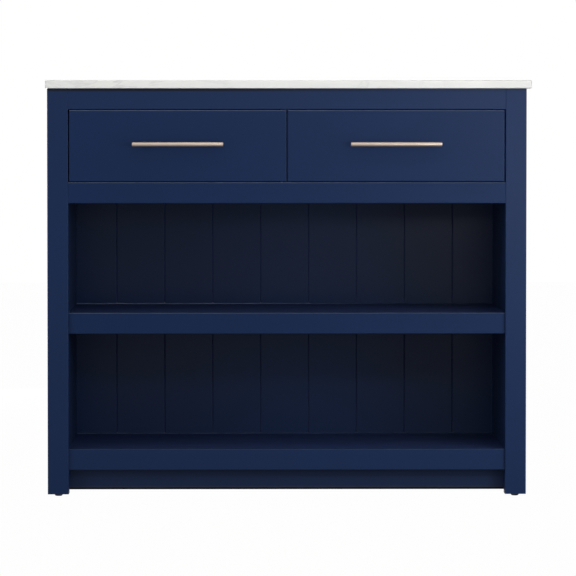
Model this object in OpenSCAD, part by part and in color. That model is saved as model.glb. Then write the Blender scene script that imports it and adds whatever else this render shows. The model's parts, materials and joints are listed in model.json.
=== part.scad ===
// Kitchen island cart: a painted cabinet on four corner posts, with two inset drawers
// over two open bays, under a pale stone worktop. Sizes are in millimetres.
// The front faces -Y, +X is to the right and the floor is z = 0.

/* [Worktop] */
// Width of the worktop
top_w = 1067; // [900:1:1250]
// Depth of the worktop
top_d = 508; // [460:1:650]
// Thickness of the worktop
top_t = 18; // [15:1:32]
// Radius of the worktop's eased edges
top_edge_r = 1.5; // [1:0.5:4]
// Radius of the worktop's corners in plan
top_corner_r = 4; // [3:0.5:20]
// Overhang of the worktop past the posts at each side
side_overhang = 7.5; // [4:0.5:25]
// How far the worktop lies to the right of the cabinet's middle
top_shift = 3.5; // [0:0.5:5]
// Overhang of the worktop past the posts at front and back
end_overhang = 10; // [4:0.5:30]

/* [Frame] */
// Height of the worktop's upper face above the floor
overall_h = 915; // [880:1:960]
// Width of the square corner posts
post_w = 46; // [42:1:60]
// Height of every rail and nosing
rail_h = 46; // [38:1:56]
// Thickness of the front rails and nosings
rail_t = 22; // [21:1:28]
// How far the shelf and bottom nosings stand behind the posts' front faces
nosing_recess = 8; // [2:1:14]
// Floor to the underside of the bottom nosing
toe_h = 58; // [45:1:90]
// Radius of the eased edges of the painted frame
edge_r = 1.5; // [0.5:0.5:3]

/* [Bays] */
// Height of the open bay over the shelf
upper_bay_h = 241; // [180:1:300]
// Height of the opening that the drawer fronts fill
drawer_opening_h = 160; // [150:1:190]

/* [Boards] */
// Thickness of the side panels
side_t = 18; // [16:1:22]
// Thickness of the V-grooved back
back_t = 12; // [9:1:15]
// How far the back is set in from the posts' back faces
back_recess = 12; // [10:1:16]
// Thickness of the shelf and the bottom board
shelf_t = 18; // [15:1:25]
// Thickness of the dust panel under the drawers
dust_t = 12; // [9:1:18]
// Thickness of the divider between the drawers
divider_t = 18; // [18:1:25]
// Thickness of the toe board
toe_t = 15; // [12:1:20]
// Clear height between the posts' feet and the toe board
toe_lift = 7; // [4:1:15]
// Distance between the V-grooves of the back
groove_pitch = 110.6; // [80:0.1:160]
// Width of a V-groove
groove_w = 3; // [3:0.5:7]
// Depth of the housings and tongues that join the boards
housing_d = 6; // [4:0.5:8]
// Thickness of the tongues
tongue_t = 7; // [5:0.5:9]
// Clearance round a tongue or a housed board
joint_gap = 0.2; // [0.1:0.1:0.4]

/* [Drawers] */
// Thickness of a drawer front
front_t = 20; // [16:1:21]
// Gap between a drawer front and the post beside it
front_gap = 2; // [1.5:0.5:4]
// Gap over and under the drawer fronts
level_gap = 1.5; // [1:0.5:4]
// Gap between the two drawer fronts
meeting_gap = 2; // [2:0.5:5]
// Radius of the drawer fronts' eased edges
front_edge_r = 2; // [0.5:0.5:4]
// Thickness of the drawer box boards
box_t = 12; // [10:1:15]
// Height of the drawer box
box_h = 120; // [95:1:128]
// Clear height under the drawer box
box_lift = 16; // [8:1:20]
// Thickness of the drawer bottom
bottom_t = 6; // [4:1:9]
// Height of the drawer bottom above the lower edge of the box
bottom_up = 10; // [8:1:14]
// Room behind the drawer runners
back_clear = 10; // [5:1:20]
// Width of a dovetail at its wide end
tail_w = 24; // [16:1:28]
// How much each side of a dovetail leans in over its length
tail_lean = 2; // [1:0.5:3]
// Height that one dovetail and one pin share
tail_step = 40; // [34:1:48]

/* [Runners] */
// Gap between cabinet and drawer box that a runner fills
runner_t = 12.7; // [12.7:0.1:13.5]
// Height of the cabinet rail of a runner
runner_h = 45.6; // [44:0.2:48]
// Height of the runner's centre line above the lower edge of the box
runner_up = 45; // [36:1:60]
// Distance from the back of the front rails to the runners
runner_setback = 2; // [1:1:6]
// Lengths in which runners are made
runner_step = 50; // [25:25:100]
// Length of runner that stays in the cabinet at full travel
runner_stay = 10; // [5:1:30]
// Thickness of the runner rails' webs
web_t = 1.2; // [1:0.1:1.3]
// Thickness of the runner rails' flanges
flange_t = 1.5; // [1.4:0.1:1.8]
// Radius of the balls between cabinet rail and middle rail
outer_ball_r = 2; // [1.8:0.1:2.2]
// Radius of the balls between middle rail and drawer rail
inner_ball_r = 1.5; // [1.3:0.1:1.6]
// How far a ball sinks into the flanges that it runs between
race_sink = 0.5; // [0.3:0.1:0.6]
// Clearance between a ball and its race
race_gap = 0.2; // [0.1:0.05:0.25]
// Distance from the outer to the inner race across a middle rail's flange
race_step = 3; // [3:0.1:3.3]
// Flange left beyond a race
race_lip = 1; // [0.6:0.1:1.2]
// Thickness of the ball cages
cage_t = 0.5; // [0.4:0.1:0.6]
// Clearance between a cage and the webs beside it
slide_gap = 0.3; // [0.2:0.05:0.35]
// Distance between balls along a cage
ball_pitch = 17; // [12:1:18]
// Number of balls in each row of a cage
ball_count = 9; // [5:1:9]
// Length of cage past its end balls
cage_end = 7; // [5:1:10]

/* [Pulls] */
// Length of a pull's bar
bar_len = 200; // [180:1:320]
// Radius of a pull's bar
bar_r = 5; // [4.5:0.5:7]
// Width of the bevel at the bar's ends
bar_bevel = 1; // [0.5:0.5:2]
// Reach of a pull in front of its drawer front
pull_reach = 35; // [30:1:45]
// Distance between the two posts of a pull
pull_spacing = 128; // [96:32:160]
// Radius of a pull's posts
pull_post_r = 4.5; // [4:0.5:5]
// Radius of the spigot that plugs a post into the bar
spigot_r = 2.5; // [2:0.5:3]
// Length of that spigot
spigot_len = 4; // [3:0.5:5]
// Height of a pull above the middle of its drawer front
pull_rise = 3.5; // [0:0.5:15]

/* [Fixings] */
// Radius of the frame dowels
dowel_r = 3; // [2.5:0.5:4]
// Length of the frame dowels
dowel_len = 30; // [20:1:36]
// Radial clearance of dowels, screws, nails and spigots
fixing_gap = 0.05; // [0.03:0.01:0.1]
// Radius of the screws
screw_r = 2; // [1.5:0.5:2.5]
// Radius of the screw heads
head_r = 3.6; // [3.2:0.2:4]
// Height of the screw heads
head_h = 1.6; // [1.2:0.1:2]
// Length of the screws that hold the runners
runner_screw_len = 8; // [6:0.5:8.5]
// Distance of the runner screws from the ends of the runners
runner_screw_in = 35; // [20:1:60]
// Length of a drawer front's screws and a pull's screws past the box front
front_screw_len = 12; // [8:1:14]
// Height of a drawer front's screws above and below the middle of the box
front_screw_z = 32; // [26:1:38]
// Distance from the sides of the box to a drawer front's screws
front_screw_in = 70; // [40:1:110]
// Leg length of the corner blocks under the worktop
block_leg = 70; // [50:1:90]
// Thickness of the corner blocks
block_t = 20; // [15:1:28]
// Length of the corner block screws inside the worktop
top_screw_len = 10; // [6:1:12]

/* [Glides] */
// Radius of the glides under the posts
glide_r = 9; // [7:0.5:14]
// Height of the glides
glide_h = 5; // [4:0.5:8]
// Radius of the flat that a glide stands on
glide_flat_r = 5; // [3:0.5:5.5]
// Radius of a glide's nail
nail_r = 1.2; // [1:0.1:1.5]
// Length of a glide's nail inside its post
nail_len = 16; // [10:1:20]

/* [Hidden] */

paint = "#25355e";
stone = "#e8e7e2";
birch = "#dcc29a";
steel = "#b9bdc2";
champagne = "#d3b19c";
nylon = "#2b2b2d";

// Cuts run this far past the faces that they open
over = 1;

// Cabinet in plan. Depths are measured back from the posts' front faces.
body_w = top_w - 2 * side_overhang;
body_d = top_d - 2 * end_overhang;
opening_w = body_w - 2 * post_w;
inner_x = opening_w / 2;
panel_back = body_d - post_w;
back_in = body_d - back_recess - back_t;
nosing_back = nosing_recess + rail_t;
side_rail_t = post_w - side_t;

// The origin is under the middle of the whole object, pulls included
front_reach = max(pull_reach, end_overhang);
front_y = (front_reach - end_overhang - body_d) / 2;

// Heights, from the top down and from the floor up
post_top = overall_h - top_t;
top_rail_z = post_top - rail_h;
drawer_z = top_rail_z - drawer_opening_h;
drawer_rail_z = drawer_z - rail_h;
shelf_top = drawer_rail_z - upper_bay_h;
bottom_top = toe_h + rail_h;
toe_bottom = glide_h + toe_lift;

// Where the rails meet the posts: depth of the dowels and height of the rail's middle
front_joints = [
    [nosing_recess + rail_t / 2, toe_h + rail_h / 2],
    [nosing_recess + rail_t / 2, shelf_top - rail_h / 2],
    [rail_t / 2, drawer_rail_z + rail_h / 2],
    [rail_t / 2, top_rail_z + rail_h / 2]
];
back_joints = [
    [body_d - back_recess / 2, toe_h + rail_h / 2],
    [body_d - back_recess / 2, top_rail_z + rail_h / 2]
];
side_joint_z = [toe_h + rail_h / 2, top_rail_z + rail_h / 2];
side_joint_x = body_w / 2 - side_rail_t / 2;
dowel_spread = rail_h / 4;
dowel_slack = 1;

// V-grooves on each side of the middle of the back
groove_count = floor((inner_x - groove_w) / groove_pitch + 0.5);

// Drawers
bay_w = (opening_w - divider_t) / 2;
bay_x = (opening_w + divider_t) / 4;
front_w = inner_x - front_gap - meeting_gap / 2;
front_h = drawer_opening_h - 2 * level_gap;
front_x = meeting_gap / 2 + front_w / 2;
box_w = bay_w - 2 * runner_t;
box_z = drawer_z + box_lift;
tail_count = round(box_h / tail_step);
tail_gap = joint_gap / 2;
bottom_in = box_t / 2;

// Runners, across: distance from the cabinet's wall. Up: distance from the centre line.
runner_y = rail_t + runner_setback;
runner_len = floor((back_in - back_clear - runner_y) / runner_step) * runner_step;
runner_z = box_z + runner_up;
box_len = runner_y + runner_len - front_t;
outer_cage_x = web_t + slide_gap;
middle_x = outer_cage_x + cage_t + slide_gap;
inner_cage_x = middle_x + web_t + slide_gap;
drawer_rail_x = inner_cage_x + cage_t + slide_gap;
outer_ball_x = middle_x + web_t + outer_ball_r;
inner_ball_x = outer_ball_x + race_step;
outer_tip_x = outer_ball_x + outer_ball_r + race_lip;
middle_tip_x = inner_ball_x + inner_ball_r + race_lip;
outer_ball_z = runner_h / 2 - flange_t - outer_ball_r + race_sink;
middle_h = 2 * (outer_ball_z - outer_ball_r + race_sink);
inner_ball_z = middle_h / 2 - flange_t - inner_ball_r + race_sink;
inner_h = 2 * (inner_ball_z - inner_ball_r + race_sink);
cage_len = (ball_count - 1) * ball_pitch + 2 * cage_end;
// At rest the cages lie in the middle, so that they stay between their rails at full travel
cage_start = (runner_len - cage_len) / 2;

// Pulls
pull_z = drawer_z + drawer_opening_h / 2 + pull_rise;
bar_y = bar_r - pull_reach;

// Moves a shape from cabinet depths to its place round the origin
module placed() {
    translate([-top_shift, front_y, 0]) children();
}

// Extrudes a flat shape, drawn in depth and height, along +X
module along_x(length) {
    rotate([90, 0, 90]) linear_extrude(length) children();
}

// Extrudes a flat shape, drawn in width and height, along +Y
module along_y(length) {
    translate([0, length, 0]) rotate([90, 0, 0]) linear_extrude(length) children();
}

// What a round corner of radius r leaves of a square one
module corner_waste(r) {
    difference() {
        translate([-over, -over]) square(r + over);
        translate([r, r]) circle(r, $fn = 32);
    }
}

// Rectangle with round corners: near_r at x = 0 and far_r at x = w, 0 for square ones
module eased_rect(w, h, near_r, far_r) {
    difference() {
        square([w, h]);
        if (near_r > 0) {
            corner_waste(near_r);
            translate([0, h]) mirror([0, 1]) corner_waste(near_r);
        }
        if (far_r > 0) {
            translate([w, 0]) mirror([1, 0]) corner_waste(far_r);
            translate([w, h]) rotate(180) corner_waste(far_r);
        }
    }
}

// Two dowels, or their bores when gap > 0, across the plane where two pieces meet
module dowel_pair(at, turn, gap) {
    slack = gap > 0 ? dowel_slack : 0;
    for (level = [-dowel_spread, dowel_spread])
        translate(at + [0, 0, level])
            rotate(turn)
                cylinder(r = dowel_r + gap, h = dowel_len + slack, center = true, $fn = 24);
}

module cross_dowels(side, joint, gap) {
    dowel_pair([side * inner_x, joint[0], joint[1]], [0, 90, 0], gap);
}

module side_dowels(side, end, gap) {
    for (z = side_joint_z)
        dowel_pair([side * side_joint_x, end == 0 ? post_w : panel_back, z], [90, 0, 0], gap);
}

// Countersunk screw that points along +Z, its head's face at z = 0
module countersunk_screw(length, gap) {
    head_lift = gap > 0 ? over : 0;
    rotate_extrude($fn = 24) polygon([
        [0, -head_lift],
        [head_r + gap, -head_lift],
        [head_r + gap, 0],
        [screw_r + gap, head_h],
        [screw_r + gap, length + gap],
        [0, length + gap]
    ]);
}

// Screw with a raised head, that points along +Z from z = 0
module pan_screw(length) {
    rotate_extrude($fn = 24) polygon([
        [0, -head_h],
        [screw_r, -head_h],
        [head_r, -head_h / 3],
        [head_r, 0],
        [screw_r, 0],
        [screw_r, length],
        [0, length]
    ]);
}

// Hole for a screw, starting just before z = 0
module screw_bore(length) {
    translate([0, 0, -over]) cylinder(r = screw_r + fixing_gap, h = length + over, $fn = 24);
}

module worktop() {
    color(stone) placed() difference() {
        translate([top_shift - top_w / 2, -end_overhang, post_top]) intersection() {
            linear_extrude(top_t) eased_rect(top_w, top_d, top_corner_r, top_corner_r);
            along_x(top_w) eased_rect(top_d, top_t, top_edge_r, top_edge_r);
            along_y(top_d) eased_rect(top_w, top_t, top_edge_r, top_edge_r);
        }
        for (spot = block_spots()) translate([spot[0], spot[1], post_top]) screw_bore(top_screw_len + fixing_gap);
    }
}

// Corner post; side is -1 at the left and 1 at the right, end is 0 in front and 1 at the back
module post(side, end) {
    centre = [side * (body_w - post_w) / 2, end == 0 ? post_w / 2 : body_d - post_w / 2, glide_h];
    color(paint) placed() difference() {
        translate(centre - [post_w / 2, post_w / 2, 0])
            linear_extrude(post_top - glide_h) eased_rect(post_w, post_w, edge_r, edge_r);
        side_panel_blank(side, joint_gap);
        if (end == 1) back_panel_blank(joint_gap);
        for (joint = end == 0 ? front_joints : back_joints) cross_dowels(side, joint, fixing_gap);
        side_dowels(side, end, fixing_gap);
        translate(centre - [0, 0, over])
            cylinder(r = nail_r + fixing_gap, h = nail_len + over + fixing_gap, $fn = 24);
    }
}

// Rail between the left and right posts; near_r and far_r ease its front and back edges
module cross_rail(depth, thick, z, near_r, far_r, joint) {
    difference() {
        translate([-inner_x, depth, z]) along_x(opening_w) eased_rect(thick, rail_h, near_r, far_r);
        for (side = [-1, 1]) cross_dowels(side, joint, fixing_gap);
    }
}

module top_rail() {
    color(paint) placed() cross_rail(0, rail_t, top_rail_z, edge_r, 0, front_joints[3]);
}

module drawer_rail() {
    color(paint) placed() cross_rail(0, rail_t, drawer_rail_z, edge_r, 0, front_joints[2]);
}

// Nosing in front of a board whose upper face is at level; the board's tongue sits in its groove
module nosing(level, joint) {
    color(paint) placed() difference() {
        cross_rail(nosing_recess, rail_t, level - rail_h, edge_r, 0, joint);
        board_tongue(level, joint_gap);
    }
}

module back_rail(z, joint) {
    color(paint) placed() cross_rail(body_d - back_recess, back_recess, z, 0, edge_r, joint);
}

// Rail between a front and a back post, on the outer face of the side panel
module side_rail(side, z) {
    low_x = side < 0 ? -body_w / 2 : body_w / 2 - side_rail_t;
    color(paint) placed() difference() {
        translate([low_x, post_w, z]) along_y(body_d - 2 * post_w)
            eased_rect(side_rail_t, rail_h, side < 0 ? edge_r : 0, side < 0 ? 0 : edge_r);
        for (end = [0, 1]) side_dowels(side, end, fixing_gap);
    }
}

// Side panel without its housings; its tongues sit in grooves in the posts
module side_panel_blank(side, gap) {
    middle = side * (inner_x + side_t / 2);
    if (gap == 0)
        translate([middle - side_t / 2, post_w, toe_bottom])
            cube([side_t, panel_back - post_w, post_top - toe_bottom]);
    translate([middle - tongue_t / 2 - gap, post_w - housing_d - gap, toe_bottom - gap])
        cube([tongue_t + 2 * gap, panel_back - post_w + 2 * (housing_d + gap), post_top - toe_bottom + over * sign(gap) + gap]);
}

// Room that a board's end takes in a side panel
module housing(side, front, back, z, thick) {
    low_x = side < 0 ? -inner_x - housing_d : inner_x - over;
    translate([low_x, front - joint_gap, z - joint_gap])
        cube([housing_d + over, back - front + 2 * joint_gap, thick + 2 * joint_gap]);
}

module side_panel(side) {
    color(paint) placed() difference() {
        side_panel_blank(side, 0);
        housing(side, post_w - housing_d, panel_back + housing_d, shelf_top - shelf_t, shelf_t);
        housing(side, post_w - housing_d, panel_back + housing_d, bottom_top - shelf_t, shelf_t);
        housing(side, post_w - housing_d, panel_back + housing_d, drawer_rail_z, dust_t);
        housing(side, post_w, post_w + toe_t, toe_bottom - over, bottom_top - shelf_t - toe_bottom + over);
        runner_screws_at(side, side, fixing_gap);
    }
}

module back_panel_blank(gap) {
    translate([-inner_x - housing_d - gap, back_in - gap, toe_h - gap])
        cube([opening_w + 2 * (housing_d + gap), back_t + 2 * gap, post_top - toe_h + over * sign(gap) + gap]);
}

module back_panel() {
    color(paint) placed() difference() {
        back_panel_blank(0);
        for (i = [1 : groove_count], side = [-1, 1], face = [back_in, back_in + back_t])
            translate([side * (i - 0.5) * groove_pitch, face, toe_h - over])
                linear_extrude(post_top - toe_h + 2 * over)
                    rotate(45) square(groove_w / sqrt(2), center = true);
    }
}

// Tongue along the front edge of a board whose upper face is at level
module board_tongue(level, gap) {
    translate([-inner_x - gap, nosing_back - housing_d - gap, level - shelf_t / 2 - tongue_t / 2 - gap])
        cube([opening_w + 2 * gap, housing_d + 2 * gap + over * sign(gap), tongue_t + 2 * gap]);
}

// Board from front to the back panel, its ends housed in the side panels
module housed_board(front, z, thick) {
    translate([-inner_x, front, z]) cube([opening_w, back_in - front, thick]);
    translate([-inner_x - housing_d + joint_gap, post_w, z])
        cube([opening_w + 2 * (housing_d - joint_gap), panel_back - post_w, thick]);
}

module nosed_board(level) {
    color(paint) placed() union() {
        housed_board(nosing_back, level - shelf_t, shelf_t);
        board_tongue(level, 0);
    }
}

module dust_panel() {
    color(paint) placed() housed_board(rail_t, drawer_rail_z, dust_t);
}

module toe_board() {
    reach = inner_x + housing_d - joint_gap;
    color(paint) placed() translate([-reach, post_w, toe_bottom])
        cube([2 * reach, toe_t, bottom_top - shelf_t - toe_bottom]);
}

module drawer_divider() {
    color(birch) placed() difference() {
        translate([-divider_t / 2, rail_t, drawer_rail_z + dust_t])
            cube([divider_t, back_in - rail_t, post_top - drawer_rail_z - dust_t]);
        for (side = [-1, 1]) runner_screws_at(side, -side, fixing_gap);
    }
}

// Corner blocks: the inner corner that each one fills, and where its screw goes
function block_corners() = [
    for (side = [-1, 1], end = [0, 1]) [side * inner_x, end == 0 ? rail_t : back_in, -side, end == 0 ? 1 : -1]
];
function block_spots() = [
    for (corner = block_corners())
        [corner[0] + corner[2] * block_leg / 3, corner[1] + corner[3] * block_leg / 3]
];

module corner_blocks() {
    tip = block_t / 3;
    color(birch) placed() difference() {
        for (corner = block_corners())
            translate([corner[0], corner[1], post_top - block_t]) linear_extrude(block_t) polygon([
                [0, 0],
                [corner[2] * block_leg, 0],
                [corner[2] * block_leg, corner[3] * tip],
                [corner[2] * tip, corner[3] * block_leg],
                [0, corner[3] * block_leg]
            ]);
        for (spot = block_spots())
            translate([spot[0], spot[1], post_top - block_t]) screw_bore(block_t + over);
    }
}

module corner_screws() {
    color(steel) placed() for (spot = block_spots())
        translate([spot[0], spot[1], post_top - block_t]) pan_screw(block_t + top_screw_len);
}

module frame_dowels() {
    color(birch) placed() for (side = [-1, 1]) {
        for (joint = concat(front_joints, back_joints)) cross_dowels(side, joint, 0);
        for (end = [0, 1]) side_dowels(side, end, 0);
    }
}

// Glide with a flat sole, a rounded rim and a nail into the post
module glides() {
    rim_r = min(glide_r - glide_flat_r, glide_h);
    color(nylon) placed()
        for (side = [-1, 1], y = [post_w / 2, body_d - post_w / 2])
            translate([side * (body_w - post_w) / 2, y, 0]) rotate_extrude($fn = 48) union() {
                square([glide_r - rim_r, glide_h]);
                square([nail_r, glide_h + nail_len]);
                translate([0, rim_r]) square([glide_r, glide_h - rim_r]);
                intersection() {
                    translate([glide_r - rim_r, rim_r]) circle(rim_r, $fn = 32);
                    square([glide_r, rim_r]);
                }
            }
}

// Local frame of one runner: x from the cabinet's wall, y along the rail, z from the centre line.
// hand is -1 for the runner at the left of the drawer box and 1 for the one at the right.
module runner_frame(side, hand) {
    translate([side * bay_x + hand * bay_w / 2, runner_y, runner_z]) {
        if (hand < 0) children();
        else mirror([1, 0, 0]) children();
    }
}

module both_runners(side) {
    for (hand = [-1, 1]) runner_frame(side, hand) children();
}

// Pressed channel with its web at x = 0 and two flanges of the given reach
module channel(reach, height) {
    difference() {
        translate([0, -height / 2]) eased_rect(reach, height, web_t, 0);
        translate([web_t, -height / 2 + flange_t]) square([reach, height - 2 * flange_t]);
    }
}

// Races above and below the centre line
module races(x, z, ball_r) {
    for (level = [-z, z]) translate([x, level]) circle(ball_r + race_gap, $fn = 32);
}

module cabinet_rails(side) {
    color(steel) placed() both_runners(side) difference() {
        along_y(runner_len) difference() {
            channel(outer_tip_x, runner_h);
            races(outer_ball_x, outer_ball_z, outer_ball_r);
        }
        runner_screw_row(fixing_gap);
    }
}

module middle_rails(side) {
    color(steel) placed() both_runners(side) along_y(runner_len) difference() {
        translate([middle_x, 0]) channel(middle_tip_x - middle_x, middle_h);
        races(outer_ball_x, outer_ball_z, outer_ball_r);
        races(inner_ball_x, inner_ball_z, inner_ball_r);
    }
}

module drawer_rails(side) {
    color(steel) placed() both_runners(side) difference() {
        along_y(runner_len) difference() {
            translate([runner_t, 0]) mirror([1, 0]) channel(runner_t - drawer_rail_x, inner_h);
            races(inner_ball_x, inner_ball_z, inner_ball_r);
        }
        for (y = runner_screw_y()) translate([runner_t - web_t, y, 0]) rotate([0, 90, 0]) screw_bore(web_t + over);
    }
}

// Bent strip with a row of holes in each flange, and the balls that sit in them
module cages(side, cage_x, ball_x, ball_z, ball_r) {
    reach = ball_x - cage_x + ball_r + race_lip / 2;
    ball_y = [for (i = [0 : ball_count - 1]) cage_start + cage_end + i * ball_pitch];
    color(steel) placed() both_runners(side) {
        difference() {
            translate([cage_x, cage_start, 0]) along_y(cage_len) difference() {
                translate([0, -ball_z - cage_t / 2]) square([reach, 2 * ball_z + cage_t]);
                translate([cage_t, -ball_z + cage_t / 2]) square([reach, 2 * ball_z - cage_t]);
            }
            for (y = ball_y, level = [-ball_z, ball_z])
                translate([ball_x, y, level])
                    cylinder(r = ball_r + race_gap / 2, h = 2 * cage_t, center = true, $fn = 32);
        }
        for (y = ball_y, level = [-ball_z, ball_z])
            translate([ball_x, y, level]) sphere(ball_r, $fn = 24);
    }
}

module outer_cages(side) {
    cages(side, outer_cage_x, outer_ball_x, outer_ball_z, outer_ball_r);
}

module inner_cages(side) {
    cages(side, inner_cage_x, inner_ball_x, inner_ball_z, inner_ball_r);
}

// Places of the screws along a runner
function runner_screw_y() = [runner_screw_in, runner_len - runner_screw_in];

// Screws through a cabinet rail into its wall, or their bores when gap > 0
module runner_screw_row(gap) {
    for (y = runner_screw_y())
        translate([web_t, y, 0]) rotate([0, -90, 0]) countersunk_screw(web_t + runner_screw_len, gap);
}

module runner_screws_at(side, hand, gap) {
    runner_frame(side, hand) runner_screw_row(gap);
}

module runner_screws() {
    color(steel) placed() for (side = [-1, 1], hand = [-1, 1]) runner_screws_at(side, hand, 0);
}

// Local frame of one drawer box: x from the middle, y from the front of the box, z from its lower edge
module box_frame(side) {
    translate([side * bay_x, front_t, box_z]) children();
}

// Row of dovetails seen from the side of the box, over the thickness of the board they enter
module tail_row(gap) {
    extra = gap > 0 ? over : 0;
    lean = tail_lean / box_t;
    near = tail_w / 2 + gap + lean * extra;
    far = tail_w / 2 + gap - lean * (box_t + extra);
    for (i = [0.5 : tail_count - 0.5])
        translate([0, i * box_h / tail_count]) polygon([
            [-extra, -near],
            [-extra, near],
            [box_t + extra, far],
            [box_t + extra, -far]
        ]);
}

// Tails at both ends of the side of the box at x = low_x
module box_tails(low_x, thick, gap) {
    translate([low_x, 0, 0]) along_x(thick) tail_row(gap);
    translate([low_x, box_len, 0]) mirror([0, 1, 0]) along_x(thick) tail_row(gap);
}

// Room that the drawer bottom takes, its edges sunk into the four boards
module bottom_blank(gap) {
    half_w = box_w / 2 - box_t + bottom_in + gap;
    low_y = box_t - bottom_in - gap;
    translate([-half_w, low_y, bottom_up - gap])
        cube([2 * half_w, box_len - 2 * low_y, bottom_t + 2 * gap]);
}

// Places of the screws that hold a drawer front, in the frame of its box
function front_screw_spots() = [
    for (x = [-1, 1], z = [-1, 1]) [x * (box_w / 2 - front_screw_in), box_h / 2 + z * front_screw_z]
];

// Places of a pull's posts, in the frame of the box
function pull_spots(side) = [
    for (x = [-1, 1]) [side * (front_x - bay_x) + x * pull_spacing / 2, pull_z - box_z]
];

// Turns +Z to face the front and moves to a spot at the given depth behind the box's front
module facing_front(spot, depth) {
    translate([spot[0], depth, spot[1]]) rotate([90, 0, 0]) children();
}

module box_side(side, hand) {
    low_x = hand < 0 ? -box_w / 2 : box_w / 2 - box_t;
    wall_x = hand * box_w / 2;
    color(birch) placed() difference() {
        box_frame(side) difference() {
            union() {
                translate([low_x, box_t, 0]) cube([box_t, box_len - 2 * box_t, box_h]);
                box_tails(low_x, box_t, 0);
            }
            bottom_blank(joint_gap);
        }
        runner_frame(side, hand)
            for (y = runner_screw_y()) translate([runner_t, y, 0]) rotate([0, 90, 0]) screw_bore(runner_screw_len);
    }
}

// Front or back board of the box: its ends hold the sockets of the dovetails
module box_end(side, low_y) {
    difference() {
        translate([-box_w / 2, low_y, 0]) cube([box_w, box_t, box_h]);
        box_tails(-box_w / 2 - over, box_t + over + tail_gap, tail_gap);
        box_tails(box_w / 2 - box_t - tail_gap, box_t + over + tail_gap, tail_gap);
        bottom_blank(joint_gap);
    }
}

module box_front(side) {
    color(birch) placed() box_frame(side) difference() {
        box_end(side, 0);
        for (spot = concat(front_screw_spots(), pull_spots(side)))
            facing_front(spot, box_t) screw_bore(box_t + over);
    }
}

module box_back(side) {
    color(birch) placed() box_frame(side) box_end(side, box_len - box_t);
}

module box_bottom(side) {
    color(birch) placed() box_frame(side) bottom_blank(0);
}

module drawer_front(side) {
    low_x = side < 0 ? -front_x - front_w / 2 : front_x - front_w / 2;
    color(paint) placed() difference() {
        translate([low_x, 0, drawer_z + level_gap]) intersection() {
            along_x(front_w) eased_rect(front_t, front_h, front_edge_r, 0);
            linear_extrude(front_h) rotate(90) mirror([0, 1]) eased_rect(front_t, front_w, front_edge_r, 0);
        }
        box_frame(side) {
            for (spot = front_screw_spots()) facing_front(spot, 0) screw_bore(front_screw_len + fixing_gap);
            for (spot = pull_spots(side)) facing_front(spot, 0) screw_bore(front_t + over);
        }
    }
}

// Bar along X with beveled ends and two sockets for the posts
module pull_bar(side) {
    color(champagne) placed() difference() {
        translate([side * front_x - bar_len / 2, bar_y, pull_z]) rotate([0, 90, 0]) rotate_extrude($fn = 48) polygon([
            [0, 0],
            [bar_r - bar_bevel, 0],
            [bar_r, bar_bevel],
            [bar_r, bar_len - bar_bevel],
            [bar_r - bar_bevel, bar_len],
            [0, bar_len]
        ]);
        for (x = [-1, 1])
            translate([side * front_x + x * pull_spacing / 2, bar_y + bar_r + over, pull_z]) rotate([90, 0, 0])
                cylinder(r = spigot_r + fixing_gap, h = spigot_len + over + fixing_gap, $fn = 32);
    }
}

// Posts from the drawer front to the bar, hollowed to the bar's round and bored for the screws
module pull_posts(side) {
    color(champagne) placed() for (x = [-1, 1])
        translate([side * front_x + x * pull_spacing / 2, 0, pull_z]) difference() {
            union() {
                difference() {
                    rotate([90, 0, 0]) cylinder(r = pull_post_r, h = -bar_y, $fn = 32);
                    translate([0, bar_y, 0]) rotate([0, 90, 0])
                        cylinder(r = bar_r + fixing_gap, h = 4 * pull_post_r, center = true, $fn = 48);
                }
                rotate([90, 0, 0]) cylinder(r = spigot_r, h = -bar_y - bar_r + spigot_len, $fn = 32);
            }
            translate([0, over, 0]) rotate([90, 0, 0])
                cylinder(r = screw_r + fixing_gap, h = front_screw_len + over + fixing_gap, $fn = 24);
        }
}

// Screws of the drawer front and the pull, from inside the box, and those of the drawer rails
module drawer_screws(side) {
    color(steel) placed() {
        box_frame(side) {
            for (spot = front_screw_spots()) facing_front(spot, box_t) pan_screw(box_t + front_screw_len);
            for (spot = pull_spots(side)) facing_front(spot, box_t) pan_screw(box_t + front_t + front_screw_len);
        }
        both_runners(side) for (y = runner_screw_y())
            translate([runner_t - web_t, y, 0]) rotate([0, 90, 0]) pan_screw(web_t + runner_screw_len - fixing_gap);
    }
}

worktop();
post(-1, 0);  // front_left_post
post(1, 0);  // front_right_post
post(-1, 1);  // back_left_post
post(1, 1);  // back_right_post
top_rail();
drawer_rail();
nosing(shelf_top, front_joints[1]);  // shelf_nosing
nosing(bottom_top, front_joints[0]);  // bottom_nosing
back_rail(top_rail_z, back_joints[1]);  // back_top_rail
back_rail(toe_h, back_joints[0]);  // back_bottom_rail
side_rail(-1, top_rail_z);  // left_top_side_rail
side_rail(-1, toe_h);  // left_bottom_side_rail
side_rail(1, top_rail_z);  // right_top_side_rail
side_rail(1, toe_h);  // right_bottom_side_rail
side_panel(-1);  // left_side_panel
side_panel(1);  // right_side_panel
back_panel();
nosed_board(shelf_top);  // shelf_board
nosed_board(bottom_top);  // bottom_board
dust_panel();
toe_board();
drawer_divider();
corner_blocks();
corner_screws();
frame_dowels();
glides();
runner_screws();
cabinet_rails(-1);  // left_cabinet_rails
middle_rails(-1);  // left_middle_rails
drawer_rails(-1);  // left_drawer_rails
outer_cages(-1);  // left_outer_cages
inner_cages(-1);  // left_inner_cages
drawer_front(-1);  // left_drawer_front
box_front(-1);  // left_box_front
box_back(-1);  // left_box_back
box_side(-1, -1);  // left_box_left_side
box_side(-1, 1);  // left_box_right_side
box_bottom(-1);  // left_box_bottom
pull_bar(-1);  // left_pull_bar
pull_posts(-1);  // left_pull_posts
drawer_screws(-1);  // left_drawer_screws
cabinet_rails(1);  // right_cabinet_rails
middle_rails(1);  // right_middle_rails
drawer_rails(1);  // right_drawer_rails
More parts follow.
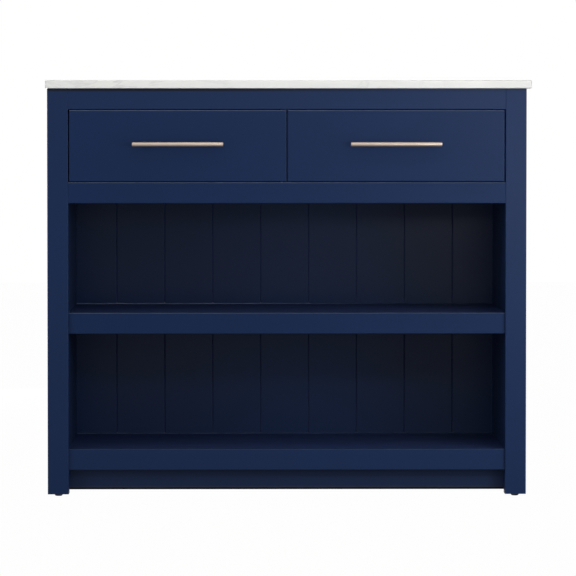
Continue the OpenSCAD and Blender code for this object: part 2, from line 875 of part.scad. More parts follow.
outer_cages(1);  // right_outer_cages
inner_cages(1);  // right_inner_cages
drawer_front(1);  // right_drawer_front
box_front(1);  // right_box_front
box_back(1);  // right_box_back
box_side(1, -1);  // right_box_left_side
box_side(1, 1);  // right_box_right_side
box_bottom(1);  // right_box_bottom
pull_bar(1);  // right_pull_bar
pull_posts(1);  // right_pull_posts
drawer_screws(1);  // right_drawer_screws
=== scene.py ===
import json
import bpy
import numpy as np
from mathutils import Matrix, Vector


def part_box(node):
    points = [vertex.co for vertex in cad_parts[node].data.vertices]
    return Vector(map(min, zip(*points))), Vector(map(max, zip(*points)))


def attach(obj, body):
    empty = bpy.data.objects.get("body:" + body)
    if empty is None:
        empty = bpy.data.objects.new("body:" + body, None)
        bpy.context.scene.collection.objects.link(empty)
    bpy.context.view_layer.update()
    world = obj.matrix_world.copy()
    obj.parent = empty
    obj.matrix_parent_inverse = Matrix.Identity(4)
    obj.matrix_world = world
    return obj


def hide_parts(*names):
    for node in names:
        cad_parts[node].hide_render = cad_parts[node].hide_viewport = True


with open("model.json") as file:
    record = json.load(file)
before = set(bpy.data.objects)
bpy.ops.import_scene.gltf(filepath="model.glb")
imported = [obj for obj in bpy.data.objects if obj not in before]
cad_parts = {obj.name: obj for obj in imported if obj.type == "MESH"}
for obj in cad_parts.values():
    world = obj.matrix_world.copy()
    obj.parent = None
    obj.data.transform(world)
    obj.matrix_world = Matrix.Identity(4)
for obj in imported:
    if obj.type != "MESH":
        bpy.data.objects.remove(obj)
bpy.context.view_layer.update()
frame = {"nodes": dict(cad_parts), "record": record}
nodes = frame["nodes"]
mm = 0.001
quarterTurn = np.pi / 2
noiseSpan = (0.3, 0.7)  # most of a noise's values lie between these


# Shader helpers: most make one node, feed its sockets and give back its output.

def addNode(tree, kind, inputs=None, **settings):
    node = tree.nodes.new(kind)
    for key, value in settings.items():
        setattr(node, key, value)
    for key, value in (inputs or {}).items():
        if isinstance(value, bpy.types.NodeSocket):
            tree.links.new(value, node.inputs[key])
        else:
            node.inputs[key].default_value = value
    return node


def calc(tree, operation, first, second=0.0, clamp=False):
    sockets = {0: first, 1: second}
    return addNode(tree, "ShaderNodeMath", sockets, operation=operation, use_clamp=clamp).outputs[0]


def times(tree, first, second):
    return calc(tree, "MULTIPLY", first, second)


def plus(tree, first, second, clamp=False):
    return calc(tree, "ADD", first, second, clamp)


def remap(tree, value, fromLow, fromHigh, toLow=0.0, toHigh=1.0):
    inputs = {"Value": value, "From Min": fromLow, "From Max": fromHigh, "To Min": toLow, "To Max": toHigh}
    return addNode(tree, "ShaderNodeMapRange", inputs).outputs[0]


def blendColour(tree, factor, first, second):
    return addNode(tree, "ShaderNodeMix", {0: factor, 6: first, 7: second}, data_type="RGBA").outputs[2]


def scaled(tree, colour, factor):
    return addNode(tree, "ShaderNodeVectorMath", {0: colour, "Scale": factor}, operation="SCALE").outputs[0]


def dot(tree, first, second):
    sockets = {0: first, 1: second}
    return addNode(tree, "ShaderNodeVectorMath", sockets, operation="DOT_PRODUCT").outputs["Value"]


def split(tree, vector):
    return addNode(tree, "ShaderNodeSeparateXYZ", {0: vector}).outputs


def faceNormal(tree):
    return addNode(tree, "ShaderNodeNewGeometry").outputs["Normal"]


def noiseAt(tree, place, scale, detail=2.0, roughness=0.5, distortion=0.0):
    inputs = {"Vector": place, "Scale": scale, "Detail": detail, "Roughness": roughness,
              "Distortion": distortion}
    return addNode(tree, "ShaderNodeTexNoise", inputs).outputs[0]


def stretched(tree, place, scale, turn=(0, 0, 0)):
    return addNode(tree, "ShaderNodeMapping", {"Vector": place, "Rotation": turn, "Scale": scale}).outputs[0]


def bumpFrom(tree, height, distance):
    return addNode(tree, "ShaderNodeBump", {"Height": height, "Distance": distance}).outputs[0]


def rgba(colour, factor=1.0):
    return tuple(factor * c for c in colour) + (1.0,)


def shades(tree, factor, colour, span):
    # a darker and a lighter shade of one colour, mixed by factor
    return blendColour(tree, factor, rgba(colour, span[0]), rgba(colour, span[1]))


def newGroup(name, inputs, outputs):
    group = bpy.data.node_groups.new(name, "ShaderNodeTree")
    for label, value in inputs.items():
        kind = "NodeSocketVector" if value is None else "NodeSocketFloat"
        socket = group.interface.new_socket(label, in_out="INPUT", socket_type=kind)
        if value is not None:
            socket.default_value = value
    for label in outputs:
        group.interface.new_socket(label, in_out="OUTPUT", socket_type="NodeSocketFloat")
    return group, addNode(group, "NodeGroupInput").outputs


def closeGroup(group, results):
    addNode(group, "NodeGroupOutput", results)
    return group


def useGroup(tree, group, inputs):
    return addNode(tree, "ShaderNodeGroup", inputs, node_tree=group).outputs


def newMaterial(name, **plain):
    material = bpy.data.materials.new(name)
    material.use_nodes = True
    tree = material.node_tree
    tree.nodes.clear()
    shader = addNode(tree, "ShaderNodeBsdfPrincipled", plain)
    addNode(tree, "ShaderNodeOutputMaterial", {0: shader.outputs[0]})
    place = addNode(tree, "ShaderNodeTexCoord").outputs["Object"]
    return material, tree, shader, place


def feed(tree, shader, **sources):
    names = {"colour": "Base Color", "roughness": "Roughness", "normal": "Normal"}
    for key, source in sources.items():
        tree.links.new(source, shader.inputs[names[key]])


# Effects that several materials share. What a noise reads is its scale, detail, roughness and distortion,
# without the scale where that is an input of the group. What a remap reads is the span that it takes in and,
# where that isn't 0 to 1, the span that it gives out.

wearAndHighlightLook = {"samples": 4, "fullBend": 0.86, "patchDetail": 3.0, "patches": (0.35, 0.6, 0.35, 1.0),
            "tilted": (0.05, 0.3), "level": (0.97, 0.995), "arrisHighlightLeast": 0.7}


def makeEdgeWearAndHighlight(look=wearAndHighlightLook):
    # Mask = how far the normal bends within Width of an arris, broken up by noise; ArrisHighlight = an eased
    # arris that looks up, where the paint carries a painted highlight
    inputs = {"Place": None, "Width": 1.5 * mm, "Breakup": 60.0}
    group, source = newGroup("edgeWearAndHighlight", inputs, ["Mask", "ArrisHighlight"])
    rounded = addNode(group, "ShaderNodeBevel", {"Radius": source["Width"]}, samples=look["samples"])
    normal = faceNormal(group)
    bent = remap(group, dot(group, rounded.outputs[0], normal), 1.0, look["fullBend"])
    patchy = noiseAt(group, source["Place"], source["Breakup"], look["patchDetail"])
    patchy = remap(group, patchy, *look["patches"])
    rise = split(group, normal)["Z"]
    tilted = times(group, remap(group, rise, *look["tilted"]), remap(group, rise, *look["level"], 1.0, 0.0))
    arrisHighlight = times(group, tilted, remap(group, patchy, *look["patches"][2:], look["arrisHighlightLeast"], 1.0))
    return closeGroup(group, {"Mask": times(group, bent, patchy), "ArrisHighlight": arrisHighlight})


sprayLook = {"mottle": (3.2, 3.0, 0.55), "ripple": (2.0, 0.45), "tooth": (1400.0, 1.0), "toothHeight": 0.15,
             "fibreStretch": (5.0, 150.0, 150.0), "fibre": (1.0, 4.0, 0.6), "mottleGloss": 0.6,
             "toothGloss": 0.4}


def makeSpray(look=sprayLook):
    # spray coat: long soft mottle, ripple of a few millimetres, fine tooth, and wood grain along X that
    # shows through
    inputs = {"Place": None, "Ripple": 240.0, "Grain": 0.5}
    group, source = newGroup("sprayCoat", inputs, ["Mottle", "Height", "Gloss"])
    place = source["Place"]
    mottle = noiseAt(group, place, *look["mottle"])
    ripple = noiseAt(group, place, source["Ripple"], *look["ripple"])
    tooth = noiseAt(group, place, *look["tooth"])
    fibre = noiseAt(group, stretched(group, place, look["fibreStretch"]), *look["fibre"])
    height = plus(group, ripple, times(group, tooth, look["toothHeight"]))
    height = plus(group, height, times(group, fibre, source["Grain"]))
    gloss = plus(group, times(group, mottle, look["mottleGloss"]), times(group, tooth, look["toothGloss"]))
    return closeGroup(group, {"Mottle": mottle, "Height": height, "Gloss": gloss})


dustLook = {"level": (0.75, 0.98), "drift": (5.0, 0.6), "drifts": (0.3, 0.72, 0.55, 1.0)}


def makeDust(look=dustLook):
    # dust lies where a face looks up: a thin even film with thicker drifts
    group, source = newGroup("lyingDust", {"Place": None, "Drift": 14.0}, ["Mask"])
    flat = remap(group, split(group, faceNormal(group))["Z"], *look["level"])
    drift = noiseAt(group, source["Place"], source["Drift"], *look["drift"])
    return closeGroup(group, {"Mask": times(group, flat, remap(group, drift, *look["drifts"]))})


grainLook = {"warpStretch": (1.3, 8.0, 8.0), "warp": (1.0, 3.0, 0.55), "slope": 0.6,
             "patchStretch": (2.0, 11.0, 11.0), "patches": (0.35, 0.65, 0.15, 1.0),
             "poreStretch": (0.03, 1.0, 1.0), "pore": (2.0, 0.6)}


def makeGrain(look=grainLook):
    # growth lines run along X: a band is the sine of the distance across the board, which a slow noise
    # warps, strong here and faint there; and fine pores
    inputs = {"Place": None, "Lines": 130.0, "Warp": 20.0, "Pores": 900.0}
    group, source = newGroup("woodGrain", inputs, ["Band", "Pore"])
    place = source["Place"]
    warp = noiseAt(group, stretched(group, place, look["warpStretch"]), *look["warp"])
    spot = split(group, place)
    across = plus(group, spot["Y"], times(group, spot["Z"], look["slope"]))
    phase = plus(group, times(group, across, source["Lines"]), times(group, warp, source["Warp"]))
    patchy = noiseAt(group, stretched(group, place, look["patchStretch"]), 1.0)
    strength = remap(group, patchy, *look["patches"])
    band = times(group, calc(group, "ABSOLUTE", calc(group, "SINE", phase)), strength)
    pore = noiseAt(group, stretched(group, place, look["poreStretch"]), source["Pores"], *look["pore"])
    return closeGroup(group, {"Band": band, "Pore": pore})


drawnLook = {"line": (1.0, 3.0, 0.6), "smudge": (55.0, 3.0, 0.6)}


def makeDrawn(look=drawnLook):
    # drawing lines run along X: noise squeezed across the bar, with slow smudges
    inputs = {"Place": None, "Lines": 1800.0, "Length": 12.0}
    group, source = newGroup("drawnMetal", inputs, ["Line", "Smudge"])
    place = source["Place"]
    spot = split(group, place)
    squeezed = addNode(group, "ShaderNodeCombineXYZ", {
        0: times(group, spot["X"], source["Length"]),
        1: times(group, spot["Y"], source["Lines"]),
        2: times(group, spot["Z"], source["Lines"])}).outputs[0]
    line = noiseAt(group, squeezed, *look["line"])
    return closeGroup(group, {"Line": line, "Smudge": noiseAt(group, place, *look["smudge"])})


edgeWearAndHighlight, sprayCoat, lyingDust = makeEdgeWearAndHighlight(), makeSpray(), makeDust()
woodGrain, drawnMetal = makeGrain(), makeDrawn()
print("effects made:", len(bpy.data.node_groups))

# Navy paint, sprayed. Arrises that look up carry a painted highlight, stronger high up and towards -X.
# A painted shadow line runs under the worktop's overhang and fades towards +X.
paintLook = {"colour": (0.0045, 0.0195, 0.0735), "mottle": (0.90, 1.10), "gloss": 0.15,
             "roughness": (0.40, 0.50), "grain": 0.45, "ripple": 0.035 * mm, "edgeWidth": 1.6 * mm,
             "edgeColour": (0.014, 0.032, 0.090), "edge": 0.5, "arrisHighlightColour": (0.095, 0.120, 0.190),
             "highlightReach": (0.12, 0.55, 0.15, 0.9), "highlightAcross": (-0.4, 0.4, 1.0, 0.7),
             "dustColour": (0.10, 0.10, 0.11), "dust": 0.10, "dustRoughness": 0.2, "overhangShadow": 0.9,
             "overhangShadowShade": 0.25, "overhangShadowDepth": 6.8 * mm, "overhangShadowFull": 0.88,
             "overhangShadowAcross": (-0.15, 0.3, 1.0, 0.2), "outsideFade": 1.0 * mm}
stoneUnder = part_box("worktop")[0].z
grainTurns = {"Across": (0, 0, 0), "Deep": (0, 0, quarterTurn), "Upright": (0, quarterTurn, 0)}


def outerCoat(tree, base, mottle, spot, axis, middle, reach):
    # a board whose inner faces carry a shaded copy of the paint has the frame's own coat further than reach
    # from the middle
    fade = paintLook["outsideFade"]
    away = calc(tree, "ABSOLUTE", calc(tree, "SUBTRACT", spot[axis], middle))
    outer = shades(tree, mottle, paintLook["colour"], paintLook["mottle"])
    return blendColour(tree, remap(tree, away, reach - fade, reach + fade), base, outer)


grooveLook = {"aside": (0.4, 0.65), "toFront": (-0.2, 0.2)}


def grooveCoat(tree, base, colour, look=grooveLook):
    # the slanting walls of the grooves that look to the front are paler: painted light in the grooves' shade
    normal = split(tree, faceNormal(tree))
    aside = remap(tree, calc(tree, "ABSOLUTE", normal["X"]), *look["aside"])
    inside = remap(tree, normal["Y"], *look["toFront"], 1.0, 0.0)
    return blendColour(tree, times(tree, aside, inside), base, rgba(colour))


mopLook = {"dirtTop": 4.6 * mm, "dirtFade": 0.4 * mm, "dirtShade": 0.1, "dirtRoughness": 0.4,
           "scuffTop": 6.9 * mm, "scuffFade": 0.8 * mm, "scuff": 0.6, "scuffColour": (0.040, 0.042, 0.062),
           "wave": 0.3 * mm, "waveNoise": (30.0, 3.0)}


def mopMarks(tree, base, rough, place, spot, foot, colour, look=mopLook):
    # the foot of the board: a matt dirty edge that the mop pushes into, and a scuffed line just over it
    wavy = remap(tree, noiseAt(tree, place, *look["waveNoise"]), *noiseSpan, -look["wave"], look["wave"])
    above = calc(tree, "SUBTRACT", plus(tree, spot["Z"], wavy), foot)
    scuffed = remap(tree, above, look["scuffTop"] - look["scuffFade"], look["scuffTop"], look["scuff"], 0.0)
    base = blendColour(tree, scuffed, base, rgba(look["scuffColour"]))
    dirty = remap(tree, above, look["dirtTop"] - look["dirtFade"], look["dirtTop"], 1.0, 0.0)
    base = blendColour(tree, dirty, base, rgba(colour, look["dirtShade"]))
    return base, plus(tree, rough, times(tree, dirty, look["dirtRoughness"]))


def makePaint(name, turn, look=paintLook):
    material, tree, shader, place = newMaterial(name)
    shader.inputs["Specular IOR Level"].default_value = look["gloss"]
    laid = stretched(tree, place, (1, 1, 1), turn)
    coat = useGroup(tree, sprayCoat, {"Place": laid, "Grain": look["grain"]})
    worn = useGroup(tree, edgeWearAndHighlight, {"Place": place, "Width": look["edgeWidth"]})
    dust = useGroup(tree, lyingDust, {"Place": place})["Mask"]
    spot = split(tree, place)
    base = shades(tree, coat["Mottle"], look["colour"], look["mottle"])
    if "paintedLightRamp" in look:  # painted light and shade, brighter or darker towards one side: the axis, then what the remap reads
        axis, *span = look["paintedLightRamp"]
        base = scaled(tree, base, remap(tree, spot[axis], *span))
    if "outside" in look:
        base = outerCoat(tree, base, coat["Mottle"], spot, *look["outside"])
    if "groove" in look:
        base = grooveCoat(tree, base, look["groove"])
    base = blendColour(tree, times(tree, worn["Mask"], look["edge"]), base, rgba(look["edgeColour"]))
    # painted highlight on the arrises that look up, stronger high up and towards -X
    highlightReach = times(tree, remap(tree, spot["Z"], *look["highlightReach"]),
                    remap(tree, spot["X"], *look["highlightAcross"]))
    base = blendColour(tree, times(tree, worn["ArrisHighlight"], highlightReach), base, rgba(look["arrisHighlightColour"]))
    base = blendColour(tree, times(tree, dust, look["dust"]), base, rgba(look["dustColour"]))
    # painted shadow under the worktop's overhang: the paint darkens near the slab's underside, fading towards
    # +X
    overhangShadowLow = stoneUnder - look["overhangShadowDepth"]
    overhangShadowFull = stoneUnder - look["overhangShadowFull"] * look["overhangShadowDepth"]
    overhangShadow = times(tree, remap(tree, spot["Z"], overhangShadowLow, overhangShadowFull, 0.0, look["overhangShadow"]),
                  remap(tree, spot["X"], *look["overhangShadowAcross"]))
    base = blendColour(tree, overhangShadow, base, rgba(look["colour"], look["overhangShadowShade"]))
    rough = remap(tree, coat["Gloss"], *noiseSpan, *look["roughness"])
    rough = plus(tree, rough, times(tree, dust, look["dustRoughness"]))
    if "mopped" in look:
        base, rough = mopMarks(tree, base, rough, place, spot, look["mopped"], look["colour"])
    feed(tree, shader, colour=base, roughness=rough, normal=bumpFrom(tree, coat["Height"], look["ripple"]))
    return material


# One paint for each way the wood under it runs, and one for each kind of pressed board, which has no grain.
# The pressed boards' colours are lit and shaded copies of the navy: painted shade on the side and dust
# panels, the back panel's inner face and the fronts, painted light on the shelf and bottom boards.
leftCore, rightCore = ((low.x + high.x) / 2
                       for low, high in (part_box("left_side_panel"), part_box("right_side_panel")))
backCore = (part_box("back_panel")[0].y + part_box("back_panel")[1].y) / 2
pressedLook = dict(paintLook, grain=0.0)
boardLooks = {
    "paintPanel": dict(pressedLook, colour=(0.0075, 0.0170, 0.0520),
                       outside=("X", (leftCore + rightCore) / 2, (rightCore - leftCore) / 2)),
    "paintShelf": dict(pressedLook, colour=(0.0085, 0.0205, 0.0760), gloss=0.2, roughness=(0.26, 0.34),
                       paintedLightRamp=("Y", -0.20, 0.23, 1.25, 1.9)),
    "paintBack": dict(pressedLook, colour=(0.0038, 0.0162, 0.0600), gloss=0.11, roughness=(0.25, 0.33),
                      groove=(0.022, 0.034, 0.086), paintedLightRamp=("Z", 0.34, 0.46, 1.12, 0.90),
                      outside=("Y", 0.0, backCore)),
    "paintToe": dict(pressedLook, colour=(0.0060, 0.0190, 0.0650), mopped=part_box("toe_board")[0].z),
    "paintFront": dict(pressedLook, colour=(0.0042, 0.0184, 0.0705), gloss=0.125)}
paints = {"paint" + way: makePaint("paint" + way, turn) for way, turn in grainTurns.items()}
paints.update({name: makePaint(name, (0, 0, 0), look) for name, look in boardLooks.items()})
print("paints made:", len(paints))

# Worktop stone: off-white, cloudy, with thin soft veins and a fine crystal speckle
stoneLook = {"colour": (0.90, 0.903, 0.87), "cloudColour": (0.83, 0.838, 0.815),
             "veinColour": (0.60, 0.605, 0.61), "speckColour": (0.89, 0.89, 0.88), "slant": 0.5,
             "squeeze": (1.0, 1.6, 1.6), "cloud": (5.0, 5.0, 0.6, 0.8), "clouds": (0.35, 0.7),
             "vein": (2.4, 6.0, 0.62, 1.6), "veinWidth": 0.018, "veinPatches": 4.0, "veins": (0.4, 0.65),
             "veinStrength": 0.45, "speck": (900.0, 2.0, 0.7), "specks": (0.35, 0.7, 0.0, 0.12),
             "stoneShadeRamp": (-0.05, 0.48, 1.0, 0.695), "blotches": (0.2, 0.8), "roughness": (0.16, 0.30),
             "depth": 0.01 * mm}


def makeStone(look=stoneLook):
    material, tree, shader, place = newMaterial("paleStone")
    slanted = stretched(tree, place, look["squeeze"], (0.0, 0.0, look["slant"]))
    cloud = remap(tree, noiseAt(tree, slanted, *look["cloud"]), *look["clouds"])
    # a vein runs where a warped noise passes its middle value, one half
    ridge = calc(tree, "ABSOLUTE", calc(tree, "SUBTRACT", noiseAt(tree, slanted, *look["vein"]), 0.5))
    vein = times(tree, remap(tree, ridge, 0.0, look["veinWidth"], 1.0, 0.0),
                 remap(tree, noiseAt(tree, place, look["veinPatches"]), *look["veins"]))
    speckle = noiseAt(tree, place, *look["speck"])
    base = blendColour(tree, cloud, rgba(look["colour"]), rgba(look["cloudColour"]))
    base = blendColour(tree, times(tree, vein, look["veinStrength"]), base, rgba(look["veinColour"]))
    base = blendColour(tree, remap(tree, speckle, *look["specks"]), base, rgba(look["speckColour"]))
    # painted shade: the slab darkens towards +X, offsetting the stronger lamp light on its right end
    base = scaled(tree, base, remap(tree, split(tree, place)["X"], *look["stoneShadeRamp"]))
    blotchy = plus(tree, times(tree, cloud, 0.5), times(tree, speckle, 0.5))  # the mean of the two
    feed(tree, shader, colour=base, roughness=remap(tree, blotchy, *look["blotches"], *look["roughness"]),
         normal=bumpFrom(tree, speckle, look["depth"]))
    return material


# Lacquered birch: one material for each way the boards run, and one of peeled veneer with a broad figure,
# laid a little askew, for the drawer bottoms
birchLook = {"light": (0.68, 0.50, 0.31), "dark": (0.55, 0.37, 0.20), "poreColour": (0.36, 0.22, 0.11),
             "pores": (0.60, 0.75, 0.0, 0.35), "roughness": (0.30, 0.45), "lines": 130.0, "warp": 20.0,
             "band": 0.55, "flameStretch": (3.0, 14.0, 14.0), "flame": (1.0, 3.0),
             "flames": (0.35, 0.7, 0.0, 0.45), "endGrain": (0.37, 0.23, 0.12),
             "ends": (0.85, 0.97, 0.0, 0.7), "edgeWidth": 1.0 * mm, "edge": 0.25, "depth": 0.03 * mm}
peeledLook = dict(birchLook, lines=38.0, warp=30.0)
askew = (0, 0, 0.05)


def makeBirch(name, turn, look=birchLook):
    material, tree, shader, place = newMaterial(name)
    laid = stretched(tree, place, (1, 1, 1), turn)
    grain = useGroup(tree, woodGrain, {"Place": laid, "Lines": look["lines"], "Warp": look["warp"]})
    flame = noiseAt(tree, stretched(tree, laid, look["flameStretch"]), *look["flame"])
    mix = plus(tree, times(tree, grain["Band"], look["band"]), remap(tree, flame, *look["flames"]))
    base = blendColour(tree, mix, rgba(look["light"]), rgba(look["dark"]))
    base = blendColour(tree, remap(tree, grain["Pore"], *look["pores"]), base, rgba(look["poreColour"]))
    # faces across the grain, such as the pins and tails of the dovetails, are darker
    along = split(tree, stretched(tree, faceNormal(tree), (1, 1, 1), turn))["X"]
    ends = remap(tree, calc(tree, "ABSOLUTE", along), *look["ends"])
    base = blendColour(tree, ends, base, rgba(look["endGrain"]))
    worn = useGroup(tree, edgeWearAndHighlight, {"Place": place, "Width": look["edgeWidth"]})["Mask"]
    base = blendColour(tree, times(tree, worn, look["edge"]), base, rgba(look["dark"]))
    feed(tree, shader, colour=base, roughness=remap(tree, grain["Pore"], *noiseSpan, *look["roughness"]),
         normal=bumpFrom(tree, grain["Pore"], look["depth"]))
    return material


# Divider between the drawers: birch, with the paint of the front lapped a little way round its front edge
lapLook = {"reach": 2.2 * mm, "ragged": 0.9 * mm, "fade": 0.3 * mm, "noise": (260.0, 4.0, 0.6), "grain": 0.2,
           "roughness": (0.36, 0.48), "depth": 0.03 * mm}


def makeLapped(look=lapLook):
    material, tree, shader, place = newMaterial("lappedBirch")
    grain = useGroup(tree, woodGrain, {"Place": stretched(tree, place, (1, 1, 1), grainTurns["Deep"])})
    coat = useGroup(tree, sprayCoat, {"Place": place, "Grain": look["grain"]})
    wood = blendColour(tree, grain["Band"], rgba(birchLook["light"]), rgba(birchLook["dark"]))
    navy = shades(tree, coat["Mottle"], paintLook["colour"], paintLook["mottle"])
    ragged = remap(tree, noiseAt(tree, place, *look["noise"]), *noiseSpan, -look["ragged"], look["ragged"])
    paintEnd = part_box("drawer_divider")[0].y + look["reach"]
    depth = plus(tree, split(tree, place)["Y"], ragged)
    lap = remap(tree, depth, paintEnd, paintEnd + look["fade"], 1.0, 0.0)
    feed(tree, shader, colour=blendColour(tree, lap, wood, navy),
         roughness=remap(tree, grain["Pore"], *noiseSpan, *look["roughness"]),
         normal=bumpFrom(tree, coat["Height"], look["depth"]))
    return material


# Brushed champagne of the pulls, and the two zinc finishes of runners and screws
champagneLook = {"colour": (0.465, 0.383, 0.322), "shades": (0.93, 1.05), "tarnish": (0.39, 0.316, 0.257),
                 "smudges": (0.4, 0.75, 0.0, 0.3), "bright": (0.62, 0.56, 0.50), "edgeWidth": 0.6 * mm,
                 "edge": 0.5, "roughness": (0.34, 0.42), "smudgeRoughness": (0.4, 0.8, 0.0, 0.08),
                 "lines": 2200.0, "length": 14.0, "depth": 0.006 * mm}
zincLook = dict(champagneLook, colour=(0.62, 0.63, 0.65), tarnish=(0.50, 0.51, 0.52),
                bright=(0.80, 0.80, 0.80), roughness=(0.28, 0.40), lines=1500.0, length=9.0,
                depth=0.01 * mm, edgeWidth=0.4 * mm)
screwLook = dict(zincLook, colour=(0.66, 0.65, 0.60), roughness=(0.22, 0.34), lines=700.0, length=700.0)


def makeMetal(name, look, turn):
    material, tree, shader, place = newMaterial(name, Metallic=1.0)
    laid = stretched(tree, place, (1, 1, 1), turn)
    drawn = useGroup(tree, drawnMetal, {"Place": laid, "Lines": look["lines"], "Length": look["length"]})
    worn = useGroup(tree, edgeWearAndHighlight, {"Place": place, "Width": look["edgeWidth"]})["Mask"]
    base = shades(tree, drawn["Line"], look["colour"], look["shades"])
    base = blendColour(tree, remap(tree, drawn["Smudge"], *look["smudges"]), base, rgba(look["tarnish"]))
    base = blendColour(tree, times(tree, worn, look["edge"]), base, rgba(look["bright"]))
    rough = plus(tree, remap(tree, drawn["Line"], *noiseSpan, *look["roughness"]),
                 remap(tree, drawn["Smudge"], *look["smudgeRoughness"]))
    feed(tree, shader, colour=base, roughness=rough, normal=bumpFrom(tree, drawn["Line"], look["depth"]))
    return material


# Dark nylon of the glides, scuffed towards the floor
nylonLook = {"colour": (0.022, 0.022, 0.024), "scuff": (0.09, 0.09, 0.09), "scuffTop": 1.6 * mm,
             "scratch": (700.0, 4.0, 0.7), "scratches": (0.45, 0.65), "roughness": (0.42, 0.6),
             "depth": 0.02 * mm}


def makeNylon(look=nylonLook):
    material, tree, shader, place = newMaterial("darkNylon")
    low = remap(tree, split(tree, place)["Z"], 0.0, look["scuffTop"], 1.0, 0.0)
    scratch = remap(tree, noiseAt(tree, place, *look["scratch"]), *look["scratches"])
    base = blendColour(tree, times(tree, low, scratch), rgba(look["colour"]), rgba(look["scuff"]))
    feed(tree, shader, colour=base, roughness=remap(tree, scratch, 0.0, 1.0, *look["roughness"]),
         normal=bumpFrom(tree, scratch, look["depth"]))
    return material


# Clear rubber of the bumpers, a little hazy
rubberLook = {"colour": (0.42, 0.42, 0.40), "shades": (0.8, 1.15), "haze": (500.0, 3.0, 0.6),
              "roughness": (0.3, 0.5), "depth": 0.02 * mm}


def makeRubber(look=rubberLook):
    material, tree, shader, place = newMaterial("bumperRubber")
    haze = noiseAt(tree, place, *look["haze"])
    feed(tree, shader, colour=shades(tree, haze, look["colour"], look["shades"]),
         roughness=remap(tree, haze, *noiseSpan, *look["roughness"]),
         normal=bumpFrom(tree, haze, look["depth"]))
    return material


paleStone = makeStone()
birches = {"birch" + way: makeBirch("birch" + way, turn) for way, turn in grainTurns.items()}
birches["birchPeeled"] = makeBirch("birchPeeled", askew, peeledLook)
lappedBirch = makeLapped()
champagne = makeMetal("champagneMetal", champagneLook, (0, 0, 0))
runnerZinc = makeMetal("runnerZinc", zincLook, (0, 0, quarterTurn))
screwZinc = makeMetal("screwZinc", screwLook, (0, 0, 0))
darkNylon, bumperRubber = makeNylon(), makeRubber()

# Every CAD node gets its finish: the grain of a painted or birch board follows its longest side
pressedBoards = {"back_panel": "paintBack", "left_side_panel": "paintPanel", "right_side_panel": "paintPanel",
                 "shelf_board": "paintShelf", "bottom_board": "paintShelf", "dust_panel": "paintPanel",
                 "toe_board": "paintToe", "drawer_rail": "paintFront", "shelf_nosing": "paintFront",
                 "left_drawer_front": "paintFront", "right_drawer_front": "paintFront"}
oneFinish = {"stone": paleStone, "pull_metal": champagne, "runner_steel": runnerZinc,
             "screw_steel": screwZinc, "glide_nylon": darkNylon}


def finishOf(name, slotName):
    low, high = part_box(name)
    longest = ("Across", "Deep", "Upright")[int(np.argmax(np.array(high) - np.array(low)))]
    if slotName == "paint":
        return paints[pressedBoards.get(name, "paint" + longest)]
    if slotName == "birch":
        figure = "Peeled" if name.endswith("box_bottom") else longest
        return lappedBirch if name == "drawer_divider" else birches["birch" + figure]
    return oneFinish[slotName]


for part in frame["record"]["subparts"]:
    slots = nodes[part["node"]].data.materials
    slots.clear()
    slots.append(finishOf(part["node"], part["material_slot"]))
print("finishes made:", len(bpy.data.materials))


# Mesh helpers: grids of points become quads.

def gridFaces(rows, columns, wrap):
    # each quad joins two neighbours of one row with the same two of the next row
    across = columns if wrap else columns - 1
    row, column = np.meshgrid(np.arange(rows - 1), np.arange(across), indexing="ij")
    following = (column + 1) % columns
    corners = (row * columns + column, row * columns + following,
               (row + 1) * columns + following, (row + 1) * columns + column)
    return np.stack(corners, -1).reshape(-1, 4)


def putMesh(name, points, faces, material, body, smooth=True):
    mesh = bpy.data.meshes.new(name)
    mesh.from_pydata(points.tolist(), [], [tuple(face) for face in faces])
    mesh.materials.append(material)
    mesh.polygons.foreach_set("use_smooth", np.full(len(mesh.polygons), smooth))
    piece = bpy.data.objects.new(name, mesh)
    bpy.context.scene.collection.objects.link(piece)
    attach(piece, body)
    return piece


def turned(profile, segments, axis, centre):
    # surface of revolution: a profile of (radius, along) rows, carried round the axis; a flat face closes
    # each end. The profile is run from its high end to its low end, so that the faces point outwards.
    profile = profile[::-1] if profile[-1, 1] > profile[0, 1] else profile
    angle = np.linspace(0.0, 2 * np.pi, segments, endpoint=False)
    radius, along = profile[:, 0:1], profile[:, 1:2]
    first, second = radius * np.cos(angle), radius * np.sin(angle)
    line = np.broadcast_to(along, first.shape)
    order = {"x": (line, first, second), "y": (second, line, first)}[axis]
    points = np.stack(order, -1).reshape(-1, 3) + np.array(centre)
    faces = [list(face) for face in gridFaces(len(profile), segments, True)[:, ::-1]]
    faces.append(list(range(segments)))
    faces.append(list(range(len(points) - segments, len(points)))[::-1])
    return points, faces


def joined(parts):
    # several closed shells in one mesh: each one's faces count on from the points before it
    points, faces, start = [], [], 0
    for some, loops in parts:
        points.append(some)
        faces += [[index + start for index in loop] for loop in loops]
        start += len(some)
    return np.concatenate(points), faces


# Pulls: a round bar with eased beveled ends on two round posts with a small foot
pullLook = {"ease": 0.35 * mm, "bevel": 1.0 * mm, "softness": 0.08 * mm, "foot": 0.5 * mm, "endHub": 0.3 * mm,
            "postGap": 1.0 * mm, "barSegments": 96, "postSegments": 48}


